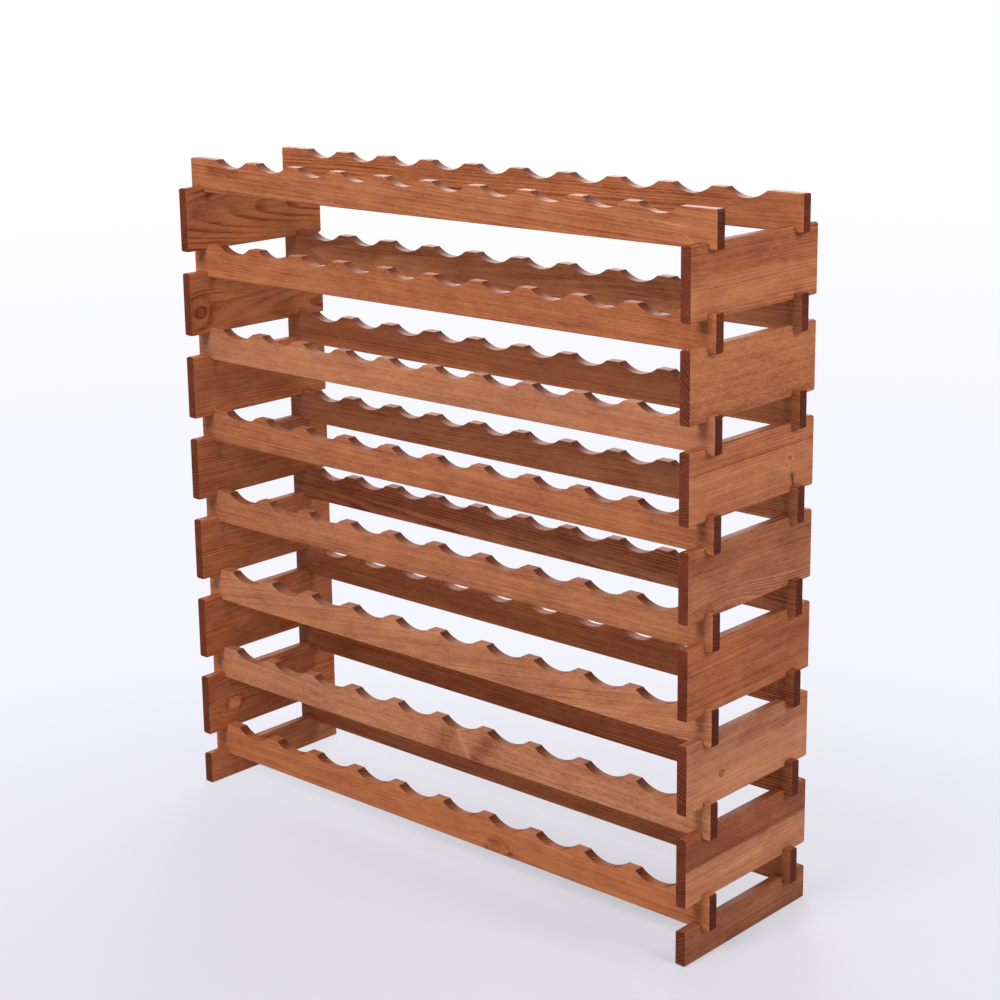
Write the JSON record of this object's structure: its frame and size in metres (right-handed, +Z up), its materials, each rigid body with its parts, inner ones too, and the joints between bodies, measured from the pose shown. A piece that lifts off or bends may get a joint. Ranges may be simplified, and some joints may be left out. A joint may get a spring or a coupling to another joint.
{
  "type": "wine rack",
  "caption": "Free-standing wine rack of stained softwood: scalloped rails and notched side boards lap crosswise in open tiers, and bottles lie front to back in the scallops.",
  "frame": {"origin": "on the floor under the middle of the rack", "axes": "+Z up, +X along the rails to the right as seen from the front, the front towards -Y"},
  "size_m": [1.006, 0.28, 1.017],
  "materials": {
    "rails": "satin stain",
    "side_boards": "satin stain"
  },
  "bodies": {
    "root": {"rail_front_1": "rails", "rail_front_2": "rails", "rail_front_3": "rails", "rail_front_4": "rails", "rail_front_5": "rails", "rail_front_6": "rails", "rail_front_7": "rails", "rail_front_8": "rails", "rail_back_1": "rails", "rail_back_2": "rails", "rail_back_3": "rails", "rail_back_4": "rails", "rail_back_5": "rails", "rail_back_6": "rails", "rail_back_7": "rails", "rail_back_8": "rails", "base_left": "side_boards", "base_right": "side_boards", "side_left_1": "side_boards", "side_left_2": "side_boards", "side_left_3": "side_boards", "side_left_4": "side_boards", "side_left_5": "side_boards", "side_left_6": "side_boards", "side_left_7": "side_boards", "side_right_1": "side_boards", "side_right_2": "side_boards", "side_right_3": "side_boards", "side_right_4": "side_boards", "side_right_5": "side_boards", "side_right_6": "side_boards", "side_right_7": "side_boards"}
  },
  "joints": []
}
